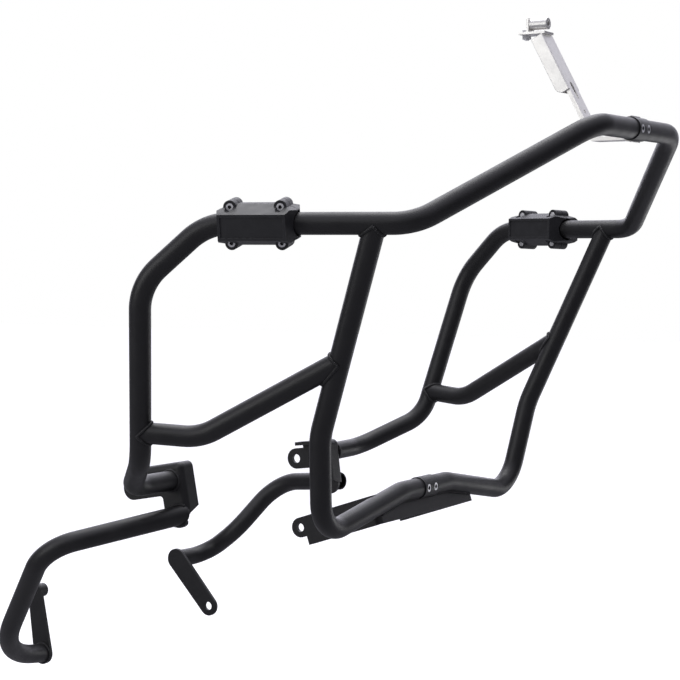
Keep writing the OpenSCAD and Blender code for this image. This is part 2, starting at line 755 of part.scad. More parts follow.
// Half shell with a wedge body, four ears and a sunk face panel
module slider_half() {
    half = slider_len / 2;
    fl = slider_face_len / 2;
    body = slider_body_h / 2;
    face = slider_face_h / 2;
    tip = slider_end_h / 2;
    floor_z = slider_seat - sheet * 0.6;
    difference() {
        union() {
            intersection() {
                translate([-half, 0, 0]) rotate([90, 0, 90]) linear_extrude(slider_len) polygon([
                    [-body, split_half], [body, split_half], [body, floor_z],
                    [face, slider_depth], [-face, slider_depth], [-body, floor_z]]);
                translate([0, body, 0]) rotate([90, 0, 0]) linear_extrude(slider_body_h) polygon([
                    [-half, split_half], [half, split_half], [half, floor_z],
                    [fl, slider_depth], [-fl, slider_depth], [-half, floor_z]]);
                linear_extrude(slider_depth) polygon([
                    [-half, tip], [-slider_bolt_along, body], [slider_bolt_along, body],
                    [half, tip], [half, -tip], [slider_bolt_along, -body],
                    [-slider_bolt_along, -body], [-half, -tip]]);
            }
            at_slider_bolts() translate([0, 0, split_half])
                cylinder(h = slider_seat + slider_head_h * 0.8, r = ear_r);
        }
        translate([-half * 1.1, 0, 0]) rotate([0, 90, 0])
            cylinder(h = slider_len * 1.1, r = tube_r + clamp_gap);
        translate([-half * 1.1, 0, 0]) rotate([0, 90, 0])
            cylinder(h = half * 1.1 - land_half, r = tube_r + bore_relief);
        translate([land_half, 0, 0]) rotate([0, 90, 0])
            cylinder(h = half, r = tube_r + bore_relief);
        at_slider_bolts() {
            cylinder(h = slider_depth * 2, r = slider_bolt_d / 2 + clamp_gap);
            translate([0, 0, slider_seat]) cylinder(h = slider_depth, r = slider_head_d / 2 + clamp_gap);
        }
        translate([-fl + panel_rim, -face + panel_rim, slider_depth - panel_depth])
            cube([slider_face_len - 2 * panel_rim, slider_face_h - 2 * panel_rim, slider_depth]);
    }
}

module slider_bolt_set() {
    at_slider_bolts() difference() {
        union() {
            translate([0, 0, slider_seat]) cylinder(h = slider_head_h, r = slider_head_d / 2);
            translate([0, 0, -slider_seat - slider_head_h])
                cylinder(h = 2 * slider_seat + slider_head_h, r = slider_bolt_d / 2);
        }
        translate([0, 0, slider_seat + slider_head_h * 0.45])
            cylinder(h = slider_head_h, r = slider_bolt_d * 0.46, $fn = 6);
    }
}

module slider_nut_set() {
    at_slider_bolts() translate([0, 0, -slider_seat - slider_head_h]) difference() {
        cylinder(h = slider_head_h, r = slider_head_d / 2, $fn = 6);
        translate([0, 0, -over]) cylinder(h = slider_head_h + 2 * over, r = slider_bolt_d / 2);
    }
}

// Lower bend of the stay bar, tied to the top tube
bar_low_y = top_y + bar_reach;
bar_low_z = top_z - bar_drop;

// Stay frame: Z up along the leaning bar, Y towards the rear, X across
module on_stay() {
    translate([0, bar_low_y, bar_low_z]) rotate([-stay_lean, 0, 0]) children();
}

// Flat bar bent once: a level foot behind the top tube, then the slotted lean
module stay_bar() {
    foot_front = top_y - bar_low_y;
    top = [bar_len * sin(stay_lean), bar_len * cos(stay_lean)];
    back = [bar_t * cos(stay_lean), -bar_t * sin(stay_lean)];
    heel = back[0] - bar_t * (1 - sin(stay_lean)) * tan(stay_lean);
    color(silver) difference() {
        translate([-bar_w / 2, bar_low_y, bar_low_z]) rotate([90, 0, 90]) linear_extrude(bar_w)
            polygon([[foot_front, 0], [0, 0], top, top + back, [heel, -bar_t], [foot_front, -bar_t]]);
        on_stay() {
            for (z = [slot_start, slot_start + slot_len - slot_w])
                translate([0, -bar_t, z]) rotate([-90, 0, 0]) cylinder(h = bar_t * 3, r = slot_w / 2);
            translate([-slot_w / 2, -bar_t, slot_start]) cube([slot_w, bar_t * 3, slot_len - slot_w]);
            translate([0, -bar_t, small_hole_at]) rotate([-90, 0, 0])
                cylinder(h = bar_t * 3, r = small_hole_d / 2);
        }
        translate([-bar_w, top_y, top_z]) rotate([0, 90, 0])
            cylinder(h = 2 * bar_w, r = tube_r + saddle_t);
    }
}

module stay_saddle() {
    color(silver) translate([0, top_y, top_z]) difference() {
        union() {
            rotate([0, 90, 0]) translate([0, 0, -saddle_w / 2])
                cylinder(h = saddle_w, r = tube_r + saddle_t);
        }
        rotate([0, 90, 0]) translate([0, 0, -saddle_w])
            cylinder(h = 2 * saddle_w, r = tube_r + pad_rise + weld_gap);
        translate([-saddle_w, -far, -far / 2]) cube([2 * saddle_w, far, far]);
    }
}

module stay_channel() {
    w = bar_w + 2 * channel_t + 4 * weld_gap;
    color(silver) union() {
        on_stay() difference() {
            translate([-w / 2, 0, channel_start]) cube([w, channel_depth, channel_len]);
            translate([-w / 2 + channel_t, -channel_t, channel_start - channel_t])
                cube([w - 2 * channel_t, channel_depth, channel_len + 2 * channel_t]);
            // rounded lower rear corners
            translate([-w, channel_depth, channel_start]) rotate([0, 90, 0]) difference() {
                translate([-notch_r * 2, -notch_r * 2, 0]) cube([notch_r * 2, notch_r * 2, 2 * w]);
                translate([-notch_r * 2, -notch_r * 2, 0]) cylinder(h = 2 * w, r = notch_r * 2);
            }
        }
    }
}

clip_bolt_y = tab_len - tab_t * 2.7;
tab_z = bar_low_z + (channel_start + channel_len) * cos(stay_lean);
tab_y = bar_low_y + (channel_start + channel_len) * sin(stay_lean);

module stay_clip() {
    color(silver) translate([0, tab_y, tab_z]) difference() {
        union() {
            translate([-bar_w / 2, -tab_t, 0]) cube([bar_w, tab_len, tab_t]);
            translate([-bar_w / 2, plate_at, 0]) cube([bar_w * 0.6, tab_t, clip_h]);
        }
        translate([-bar_w * 0.2, 0, clip_h - bushing_d / 2]) rotate([-90, 0, 0])
            cylinder(h = far, r = bushing_bore / 2);
        translate([0, clip_bolt_y, -tab_t]) cylinder(h = tab_t * 3, r = slot_w / 2);
    }
}

module stay_bushing() {
    color(silver)
        translate([-bar_w * 0.2, tab_y + plate_at - bushing_len, tab_z + clip_h - bushing_d / 2])
        rotate([-90, 0, 0]) difference() {
            cylinder(h = bushing_len, r = bushing_d / 2);
            translate([0, 0, -over]) cylinder(h = bushing_len + 2 * over, r = bushing_bore / 2);
        }
}

// Hexagon bolt with its head at the origin, shank towards +Z
module hex_bolt(d, len, head) {
    translate([0, 0, -head]) cylinder(h = head, r = d * 0.92, $fn = 6);
    cylinder(h = len, r = d / 2);
}

module hex_nut(d, h) {
    difference() {
        cylinder(h = h, r = d * 0.92, $fn = 6);
        translate([0, 0, -over]) cylinder(h = h + 2 * over, r = d / 2);
    }
}
stay_bolt_d = slot_w * 0.9;
bar_len = channel_start + channel_len;

module right_main_tube() { color(coat) mirrored() main_tube(); }
module left_main_tube() { color(coat) main_tube(); }
module right_down_tube() { color(coat) mirrored() down_tube(); }
module left_down_tube() { color(coat) down_tube(); }
module right_cross_tube() { color(coat) mirrored() cross_tube(); }
module left_cross_tube() { color(coat) cross_tube(); }
module right_rear_tube() { color(coat) mirrored() right_rear(); }
module left_rear_tube() { color(coat) left_rear(); }
module right_frame_bracket() {
    color(coat) mirrored()
        frame_bracket(frame_tilt, bracket_front, leg_rear, low_lobe_u, low_lobe_v);
}
module left_frame_bracket() {
    color(coat) frame_bracket(left_tilt, left_front, left_leg, left_lobe_u, left_lobe_v);
}
module right_rear_plate() {
    color(coat) mirrored() link_plate(right_tube_y, right_tube_z, right_tube_lobe,
        right_hole_y, right_hole_z, right_hole_lobe, spacer_bore);
}
module left_rear_plate() {
    color(coat) link_plate(left_tube_y, left_tube_z, left_tube_lobe,
        left_hole_y, left_hole_z, left_hole_lobe, rear_hole_d);
}
module right_rear_spacer() {
    color(coat) mirrored() translate([plate_x - sheet - spacer_len, right_hole_y, right_hole_z])
        rotate([0, 90, 0]) difference() {
            cylinder(h = spacer_len, r = spacer_d / 2);
            translate([0, 0, -over]) cylinder(h = spacer_len + 2 * over, r = spacer_bore / 2);
        }
}
module right_top_coupler() { color(coat) mirrored() coupler(top_gap_half, top_y, top_z, true); }
module left_top_coupler() { color(coat) coupler(top_gap_half, top_y, top_z, false); }
module right_bottom_coupler() {
    color(coat) mirrored() coupler(bottom_gap_half, bottom_y, bottom_z, true);
}
module left_bottom_coupler() {
    color(coat) coupler(bottom_gap_half, bottom_y, bottom_z, false);
}
module top_coupler_bolts() { color(silver) coupler_bolt_set(top_y, top_z); }
module bottom_coupler_bolts() { color(silver) coupler_bolt_set(bottom_y, bottom_z); }
module right_slider_outer() {
    color(plastic) mirrored() on_rail(right_slider_at, right_slider_roll) slider_half();
}
module right_slider_inner() {
    color(plastic) mirrored() on_rail(right_slider_at, right_slider_roll)
        mirror([0, 0, 1]) slider_half();
}
module left_slider_outer() {
    color(plastic) on_rail(left_slider_at, left_slider_roll) slider_half();
}
module left_slider_inner() {
    color(plastic) on_rail(left_slider_at, left_slider_roll) mirror([0, 0, 1]) slider_half();
}
module right_slider_bolts() {
    color(silver) mirrored() on_rail(right_slider_at, right_slider_roll) slider_bolt_set();
}
module left_slider_bolts() {
    color(silver) on_rail(left_slider_at, left_slider_roll) slider_bolt_set();
}
module right_slider_nuts() {
    color(silver) mirrored() on_rail(right_slider_at, right_slider_roll) slider_nut_set();
}
module left_slider_nuts() {
    color(silver) on_rail(left_slider_at, left_slider_roll) slider_nut_set();
}
module stay_clip_bolt() {
    color(silver) translate([0, tab_y + clip_bolt_y, tab_z + tab_t]) mirror([0, 0, 1])
        hex_bolt(stay_bolt_d, tab_t + stay_bolt_d, stay_bolt_d * 0.65);
}
module stay_clip_nut() {
    color(silver) translate([0, tab_y + clip_bolt_y, tab_z - stay_bolt_d * 0.8])
        hex_nut(stay_bolt_d, stay_bolt_d * 0.8);
}

right_main_tube();
left_main_tube();
right_down_tube();
left_down_tube();
right_cross_tube();
left_cross_tube();
right_rear_tube();
left_rear_tube();
right_frame_bracket();
left_frame_bracket();
right_rear_plate();
left_rear_plate();
right_rear_spacer();
engine_bracket();
right_top_coupler();
left_top_coupler();
right_bottom_coupler();
left_bottom_coupler();
top_coupler_bolts();
bottom_coupler_bolts();
right_slider_outer();
right_slider_inner();
left_slider_outer();
left_slider_inner();
right_slider_bolts();
left_slider_bolts();
right_slider_nuts();
left_slider_nuts();
stay_bar();
stay_saddle();
stay_channel();
stay_clip();
stay_bushing();
stay_clip_bolt();
stay_clip_nut();
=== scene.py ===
"""Crash bars for a motorcycle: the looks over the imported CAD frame.

Metres, in the CAD's own frame: X to the bike's left, Y rearward, Z up, the origin on the
engine bolt. Tubes, brackets and couplers are powder coated, the sliders are moulded
plastic, the bolts are zinc plated and the top stay is bright satin steel.
"""

import math

import bmesh
import bpy
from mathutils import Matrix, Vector


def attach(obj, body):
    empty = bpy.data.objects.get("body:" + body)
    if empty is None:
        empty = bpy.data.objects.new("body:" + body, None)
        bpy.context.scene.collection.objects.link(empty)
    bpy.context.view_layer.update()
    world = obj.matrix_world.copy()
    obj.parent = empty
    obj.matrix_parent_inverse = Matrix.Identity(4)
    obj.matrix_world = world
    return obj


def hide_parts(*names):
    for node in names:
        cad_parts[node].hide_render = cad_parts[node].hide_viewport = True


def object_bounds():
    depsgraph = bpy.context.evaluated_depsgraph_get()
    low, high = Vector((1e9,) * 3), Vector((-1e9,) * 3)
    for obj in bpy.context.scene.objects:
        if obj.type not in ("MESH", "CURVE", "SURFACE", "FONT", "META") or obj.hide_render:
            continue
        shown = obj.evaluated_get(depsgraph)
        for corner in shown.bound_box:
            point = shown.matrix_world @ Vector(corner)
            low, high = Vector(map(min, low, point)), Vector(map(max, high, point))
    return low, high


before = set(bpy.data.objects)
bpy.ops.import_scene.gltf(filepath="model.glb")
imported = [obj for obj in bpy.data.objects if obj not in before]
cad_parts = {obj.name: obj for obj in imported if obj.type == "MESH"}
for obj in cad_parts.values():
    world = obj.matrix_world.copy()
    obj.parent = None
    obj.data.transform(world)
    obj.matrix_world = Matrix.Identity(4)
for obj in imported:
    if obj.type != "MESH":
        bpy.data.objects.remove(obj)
cad_low, cad_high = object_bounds()
MM = 0.001

# Sizes the tubes and welds need, the same as the CAD's own (millimetres)
TUBE_R = 12.7
BORE_R = 10.7
WELD_GAP = 0.12
WEB_X = 196.0
PLATE_X = 138.0
SHEET = 5.0
ARM_TILT = math.radians(18.5)
ARM_FRONT = 115.0
ARM_X = 125.0
LOBE_R = 16.0
JOINT_SETBACK = 44.0
CROSS_JOINT_SHARE = 0.832
CROSS_END_SHARE = 0.636

# Points of the left side's tubes; the right side mirrors them
TOP_END = Vector((33.0, -393.5, 491.6))
TOP_BEND = Vector((118.5, -393.5, 491.6))
RAIL_FRONT = Vector((306.2, -263.7, 377.1))
RAIL_REAR = Vector((375.1, -36.6, 377.7))
SHOULDER = Vector((399.0, 39.4, 309.0))
FOOT = Vector((345.0, 81.5, 101.0))
HEEL = Vector((273.5, 150.0, 57.5))
ANCHOR = Vector((196.0, 149.5, 57.0))
DOWN_JOINT = RAIL_FRONT + JOINT_SETBACK * (RAIL_REAR - RAIL_FRONT).normalized()
KNEE = Vector((275.9, -123.2, 133.7))
CORNER = Vector((246.7, -107.0, 12.7))
RUN_BEND = Vector((60.0, -108.0, 45.2))
RUN_END = Vector((33.0, -108.0, 45.2))
CROSS_JOINT = SHOULDER + CROSS_JOINT_SHARE * (FOOT - SHOULDER)
ELBOW = Vector((331.0, 5.5, 131.8))
CROSS_END = DOWN_JOINT + CROSS_END_SHARE * (KNEE - DOWN_JOINT)
LOW_LOBE = Vector((196.0, 137.13, 13.75))

MAIN_RUN = [TOP_END, TOP_BEND, RAIL_FRONT, RAIL_REAR, SHOULDER, FOOT, HEEL, ANCHOR]
MAIN_BENDS = [70.0, 58.0, 72.0, 72.0, 60.0, 58.0]
DOWN_RUN = [DOWN_JOINT, KNEE, CORNER, RUN_BEND, RUN_END]
DOWN_BENDS = [110.0, 48.0, 60.0]
CROSS_RUN = [CROSS_JOINT, ELBOW, CROSS_END]
CROSS_BENDS = [70.0]
LEFT_REAR_RUN = [Vector((206.6, 143.0, 13.0)), Vector((244.4, 274.7, -1.0)),
                 Vector((190.0, 313.7, -69.3)), Vector((194.0, 372.0, -111.3)),
                 Vector((138.0, 384.8, -112.4))]
LEFT_REAR_BENDS = [58.0, 58.0, 38.0]
RIGHT_REAR_RUN = [LOW_LOBE, Vector((319.3, 253.4, -21.6)), Vector((238.0, 402.0, -189.0)),
                  Vector((138.0, 413.0, -205.0))]
RIGHT_REAR_BENDS = [55.0, 140.0]


# ---------------------------------------------------------------- node helpers

def node_of(tree, kind, place, **settings):
    """One node of a tree, with its settings and input values."""
    node = tree.nodes.new(kind)
    node.location = place
    for key, value in settings.items():
        if key == "inputs":
            for name, given in value.items():
                node.inputs[name].default_value = given
        else:
            setattr(node, key, value)
    return node


def shader_group(name, inputs, outputs):
    """An empty shader group with named sockets; inputs are (name, type, value)."""
    tree = bpy.data.node_groups.new(name, "ShaderNodeTree")
    for label, kind, value in inputs:
        socket = tree.interface.new_socket(name=label, in_out="INPUT", socket_type=kind)
        if value is not None:
            socket.default_value = value
    for label, kind in outputs:
        tree.interface.new_socket(name=label, in_out="OUTPUT", socket_type=kind)
    return tree, tree.nodes.new("NodeGroupInput"), tree.nodes.new("NodeGroupOutput")


def grain_group():
    """Fine surface grain: a colour between two tones, a roughness and a bump height."""
    tree, given, out = shader_group(
        "surface_grain",
        [("Vector", "NodeSocketVector", None),
         ("Grain Scale", "NodeSocketFloat", 1400.0),
         ("Cloud Scale", "NodeSocketFloat", 40.0),
         ("Dark", "NodeSocketColor", (0.01, 0.01, 0.01, 1)),
         ("Light", "NodeSocketColor", (0.03, 0.03, 0.03, 1)),
         ("Rough Low", "NodeSocketFloat", 0.4),
         ("Rough High", "NodeSocketFloat", 0.6)],
        [("Color", "NodeSocketColor"), ("Roughness", "NodeSocketFloat"),
         ("Height", "NodeSocketFloat")])
    link = tree.links.new
    fine = node_of(tree, "ShaderNodeTexNoise", (-600, 200),
                   inputs={"Detail": 3.0, "Roughness": 0.62})
    cloud = node_of(tree, "ShaderNodeTexNoise", (-600, -100),
                    inputs={"Detail": 4.0, "Roughness": 0.55})
    pits = node_of(tree, "ShaderNodeTexVoronoi", (-600, -400))
    for target, scale in ((fine, "Grain Scale"), (cloud, "Cloud Scale"), (pits, "Grain Scale")):
        link(given.outputs["Vector"], target.inputs["Vector"])
        link(given.outputs[scale], target.inputs["Scale"])
    both = node_of(tree, "ShaderNodeMath", (-350, 60), operation="MULTIPLY_ADD",
                   inputs={1: 0.6})
    link(cloud.outputs["Fac"], both.inputs[0])
    half = node_of(tree, "ShaderNodeMath", (-500, 20), operation="MULTIPLY", inputs={1: 0.4})
    link(fine.outputs["Fac"], half.inputs[0])
    link(half.outputs[0], both.inputs[2])
    spread = node_of(tree, "ShaderNodeMapRange", (-180, 60),
                     inputs={"From Min": 0.34, "From Max": 0.66})
    link(both.outputs[0], spread.inputs["Value"])
    tone = node_of(tree, "ShaderNodeMix", (20, 160), data_type="RGBA")
    link(spread.outputs["Result"], tone.inputs["Factor"])
    link(given.outputs["Dark"], tone.inputs[6])
    link(given.outputs["Light"], tone.inputs[7])
    rough = node_of(tree, "ShaderNodeMapRange", (20, -60))
    link(spread.outputs["Result"], rough.inputs["Value"])
    link(given.outputs["Rough Low"], rough.inputs["To Min"])
    link(given.outputs["Rough High"], rough.inputs["To Max"])
    height = node_of(tree, "ShaderNodeMath", (20, -260), operation="MULTIPLY_ADD",
                     inputs={1: 0.5})
    link(pits.outputs["Distance"], height.inputs[0])
    link(fine.outputs["Fac"], height.inputs[2])
    link(tone.outputs[2], out.inputs["Color"])
    link(rough.outputs["Result"], out.inputs["Roughness"])
    link(height.outputs[0], out.inputs["Height"])
    return tree


def wear_and_highlight_group():
    """A mask along edges, broken up by noise: partly where a finish wears thin, partly a painted
    highlight where edges catch light.
    """
    tree, given, out = shader_group(
        "edge_wear_and_highlight",
        [("Vector", "NodeSocketVector", None), ("Width", "NodeSocketFloat", 0.001),
         ("Amount", "NodeSocketFloat", 0.5)],
        [("Mask", "NodeSocketFloat")])
    link = tree.links.new
    bevel = node_of(tree, "ShaderNodeBevel", (-600, 100), samples=4)
    link(given.outputs["Width"], bevel.inputs["Radius"])
    flat = node_of(tree, "ShaderNodeNewGeometry", (-600, -100))
    dot = node_of(tree, "ShaderNodeVectorMath", (-400, 60), operation="DOT_PRODUCT")
    link(bevel.outputs["Normal"], dot.inputs[0])
    link(flat.outputs["Normal"], dot.inputs[1])
    edge = node_of(tree, "ShaderNodeMapRange", (-220, 60),
                   inputs={"From Min": 0.985, "From Max": 0.86})
    link(dot.outputs["Value"], edge.inputs["Value"])
    noise = node_of(tree, "ShaderNodeTexNoise", (-400, -200),
                    inputs={"Scale": 260.0, "Detail": 3.0})
    link(given.outputs["Vector"], noise.inputs["Vector"])
    broken = node_of(tree, "ShaderNodeMapRange", (-220, -200),
                     inputs={"From Min": 0.38, "From Max": 0.62})
    link(noise.outputs["Fac"], broken.inputs["Value"])
    first = node_of(tree, "ShaderNodeMath", (-40, 0), operation="MULTIPLY")
    link(edge.outputs["Result"], first.inputs[0])
    link(broken.outputs["Result"], first.inputs[1])
    second = node_of(tree, "ShaderNodeMath", (120, 0), operation="MULTIPLY")
    link(first.outputs[0], second.inputs[0])
    link(given.outputs["Amount"], second.inputs[1])
    link(second.outputs[0], out.inputs["Mask"])
    return tree


GRAIN = grain_group()
WEAR_AND_HIGHLIGHT = wear_and_highlight_group()
# Painted shade: the tone that sockets and corners are darkened to.
PAINTED_SHADE_TONE = (0.012, 0.012, 0.013, 1)


def finish_material(name, dark, light, rough, grain_scale, cloud_scale, bump, metallic=0.0,
                    specular=0.5, stretch=(1, 1, 1), wear_and_highlight=0.0, wear_and_highlight_tone=(0.1, 0.1, 0.1),
                    wear_and_highlight_width=0.0012, painted_shade_depth=0.0):
    """A surface finish: two tones, a roughness range, a fine bump, lighter edges that are partly
    wear and partly painted highlight and, with a shade depth, painted shade that darkens sockets
    and corners."""
    mat = bpy.data.materials.new(name)
    mat.use_nodes = True
    tree = mat.node_tree
    link = tree.links.new
    shader = tree.nodes["Principled BSDF"]
    shader.inputs["Metallic"].default_value = metallic
    shader.inputs["Specular IOR Level"].default_value = specular
    coords = node_of(tree, "ShaderNodeTexCoord", (-1100, 0))
    turn = node_of(tree, "ShaderNodeMapping", (-900, 0), inputs={"Scale": stretch})
    link(coords.outputs["Object"], turn.inputs["Vector"])
    grain = node_of(tree, "ShaderNodeGroup", (-650, 0), node_tree=GRAIN, inputs={
        "Grain Scale": grain_scale, "Cloud Scale": cloud_scale, "Dark": (*dark, 1),
        "Light": (*light, 1), "Rough Low": rough[0], "Rough High": rough[1]})
    link(turn.outputs["Vector"], grain.inputs["Vector"])
    colour = grain.outputs["Color"]
    # Lighter edges: partly wear where the finish thins, partly a painted highlight along edges.
    if wear_and_highlight:
        wear_and_highlight_mask = node_of(tree, "ShaderNodeGroup", (-650, -300), node_tree=WEAR_AND_HIGHLIGHT,
                       inputs={"Width": wear_and_highlight_width, "Amount": wear_and_highlight})
        link(coords.outputs["Object"], wear_and_highlight_mask.inputs["Vector"])
        mix = node_of(tree, "ShaderNodeMix", (-350, 100), data_type="RGBA")
        mix.inputs[7].default_value = (*wear_and_highlight_tone, 1)
        link(wear_and_highlight_mask.outputs["Mask"], mix.inputs["Factor"])
        link(colour, mix.inputs[6])
        colour = mix.outputs[2]
    # Painted shade: the base colour is darkened in sockets and corners, where shade falls.
    if painted_shade_depth:
        hollow = node_of(tree, "ShaderNodeAmbientOcclusion", (-550, 350), samples=8,
                         only_local=True, inputs={"Distance": painted_shade_depth})
        open_share = node_of(tree, "ShaderNodeMapRange", (-350, 350),
                             inputs={"From Min": 0.45, "From Max": 0.95})
        link(hollow.outputs["AO"], open_share.inputs["Value"])
        shade = node_of(tree, "ShaderNodeMix", (-180, 250), data_type="RGBA")
        shade.inputs[6].default_value = PAINTED_SHADE_TONE
        link(open_share.outputs["Result"], shade.inputs["Factor"])
        link(colour, shade.inputs[7])
        colour = shade.outputs[2]
    link(colour, shader.inputs["Base Color"])
    link(grain.outputs["Roughness"], shader.inputs["Roughness"])
    height = node_of(tree, "ShaderNodeBump", (-350, -200),
                     inputs={"Strength": bump[0], "Distance": bump[1]})
    link(grain.outputs["Height"], height.inputs["Height"])
    link(height.outputs["Normal"], shader.inputs["Normal"])
    return mat


# Lighter edge tones are partly wear, partly painted highlight; the zinc's darker sockets are
# painted shade.
POWDER = finish_material(
    "powder_coat", (0.0085, 0.0085, 0.0092), (0.0140, 0.0140, 0.0150), (0.36, 0.48), 1250.0, 55.0,
    (0.55, 0.00025), specular=0.48, wear_and_highlight=0.50, wear_and_highlight_tone=(0.075, 0.075, 0.079))
MOULDED = finish_material(
    "moulded_plastic", (0.0170, 0.0172, 0.0190), (0.0240, 0.0244, 0.0270), (0.42, 0.54), 1900.0,
    90.0, (0.30, 0.00015), specular=0.45, wear_and_highlight=0.65, wear_and_highlight_tone=(0.105, 0.106, 0.115))
ZINC = finish_material(
    "zinc_plate", (0.84, 0.84, 0.85), (0.96, 0.96, 0.97), (0.20, 0.36), 900.0, 160.0,
    (0.25, 0.0001), metallic=0.30, wear_and_highlight=0.5, wear_and_highlight_tone=(0.95, 0.95, 0.95), wear_and_highlight_width=0.0006,
    painted_shade_depth=0.006)
SATIN = finish_material(
    "satin_steel", (0.79, 0.78, 0.755), (0.95, 0.94, 0.91), (0.30, 0.46), 380.0, 60.0,
    (0.30, 0.0001), metallic=0.75, stretch=(6.0, 1.2, 1.0), wear_and_highlight=0.4,
    wear_and_highlight_tone=(0.95, 0.95, 0.96), wear_and_highlight_width=0.0008)


# ---------------------------------------------------------------- dressed nodes

SAME_POINT = 0.000004
FLAT_ANGLE = math.radians(0.5)
SMOOTH_ANGLE = 38.0
EVEN_WEIGHT = 80


def dressed(node, material, bevel, smooth_angle=SMOOTH_ANGLE):
    """A cleaned copy of a CAD node, with real rounded edges, that stands for the node."""
    mesh = bpy.data.meshes.new(node + "_dressed")
    bm = bmesh.new()
    bm.from_mesh(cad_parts[node].data)
    bmesh.ops.remove_doubles(bm, verts=bm.verts, dist=SAME_POINT)
    bmesh.ops.dissolve_limit(bm, angle_limit=FLAT_ANGLE, verts=bm.verts, edges=bm.edges,
                             delimit={"NORMAL"})
    bm.to_mesh(mesh)
    bm.free()
    mesh.shade_smooth()
    mesh.set_sharp_from_angle(angle=math.radians(smooth_angle))
    mesh.materials.append(material)
    piece = bpy.data.objects.new(node + "_dressed", mesh)
    bpy.context.collection.objects.link(piece)
    edge = piece.modifiers.new("rounded edges", "BEVEL")
    edge.width = bevel * MM
    edge.segments = 2
    edge.limit_method = "ANGLE"
    edge.angle_limit = math.radians(smooth_angle)
    even = piece.modifiers.new("even normals", "WEIGHTED_NORMAL")
    even.weight = EVEN_WEIGHT
    even.keep_sharp = True
    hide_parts(node)
    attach(piece, "root")


# ---------------------------------------------------------------- swept tubes

RING = 56
BEND_STEP = math.radians(3.0)
# Fore and aft place that parts the left rear tube's end beside the bracket from its rest
BESIDE_END = 200.0


def ring_axes(direction):
    """Two directions square to a tube's own; the three make a right-handed set."""
    side = Vector((0, 0, 1)) if abs(direction.z) < 0.9 else Vector((1, 0, 0))
    u = direction.cross(side).normalized()
    return u, direction.cross(u).normalized()


def stations(points, bends):
    """Places and headings along a run of straights and true bends."""
    heading = (points[1] - points[0]).normalized()
    places = [(points[0], heading)]
    for before, corner, after, radius in zip(points, points[1:], points[2:], bends):
        into, out = (corner - before).normalized(), (after - corner).normalized()
        turn = into.angle(out)
        inward = (out - into).normalized()
        centre = corner + inward * (radius / math.cos(turn / 2))
        middle = (into + out).normalized()
        count = max(4, math.ceil(turn / BEND_STEP))
        for i in range(count + 1):
            a = turn * (i / count - 0.5)
            place = centre + radius * (math.sin(a) * middle - math.cos(a) * inward)
            places.append((place, math.cos(a) * middle + math.sin(a) * inward))
    places.append((points[-1], (points[-1] - points[-2]).normalized()))
    return places


def onto_plane(point, heading, plane_x):
    """The point slid along the tube until it lies on a flat plate face."""
    return point + heading * ((plane_x - point.x) / heading.x)


def onto_tube(point, away, joint, main_dir, gap=WELD_GAP):
    """The point slid along a branch tube until it lies on the tube it joins."""
    e = main_dir.normalized()
    rim = point - joint
    across = rim - rim.dot(e) * e
    along = away - away.dot(e) * e
    qa = along.dot(along)
    qb = 2 * across.dot(along)
    qc = across.dot(across) - (TUBE_R + gap) ** 2
    return point + away * ((-qb + math.sqrt(max(0.0, qb * qb - 4 * qa * qc))) / (2 * qa))


def swept_tube(node, points, bends, start=None, end=None, clear=None):
    """A hollow tube that stands for a CAD node. start and end shape the end rings."""
    places = stations(points, bends)
    u, _ = ring_axes(places[0][1])
    rows = []
    last = places[0][1]
    for number, (place, heading) in enumerate(places):
        u = last.rotation_difference(heading) @ u
        last = heading
        v = heading.cross(u).normalized()
        u = v.cross(heading).normalized()
        shape = start if number == 0 else end if number == len(places) - 1 else None
        row = []
        for radius in (TUBE_R, BORE_R):
            for i in range(RING):
                a = 2 * math.pi * i / RING
                point = place + radius * (math.cos(a) * u + math.sin(a) * v)
                if shape:
                    point = shape(point, heading)
                if clear:
                    point = clear(point)
                row.append(point)
        rows.append(row)
    vertices = [tuple(point * MM) for row in rows for point in row]
    faces = []
    for r in range(len(rows) - 1):
        near, far = 2 * RING * r, 2 * RING * (r + 1)
        for i in range(RING):
            j = (i + 1) % RING
            faces.append((near + i, near + j, far + j, far + i))
            faces.append((near + RING + j, near + RING + i, far + RING + i, far + RING + j))
    top = 2 * RING * (len(rows) - 1)
    for i in range(RING):
        j = (i + 1) % RING
        faces.append((i, RING + i, RING + j, j))
        faces.append((top + j, top + RING + j, top + RING + i, top + i))
    mesh = bpy.data.meshes.new(node + "_swept")
    mesh.from_pydata(vertices, [], faces)
    mesh.shade_smooth()
    mesh.set_sharp_from_angle(angle=math.radians(SMOOTH_ANGLE))
    mesh.materials.append(POWDER)
    piece = bpy.data.objects.new(node + "_swept", mesh)
    bpy.context.collection.objects.link(piece)
    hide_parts(node)
    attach(piece, "root")


def on_side(point, side):
    """A point of the left side, or its mirror on the right."""
    return point.copy() if side == "left" else Vector((-point.x, point.y, point.z))


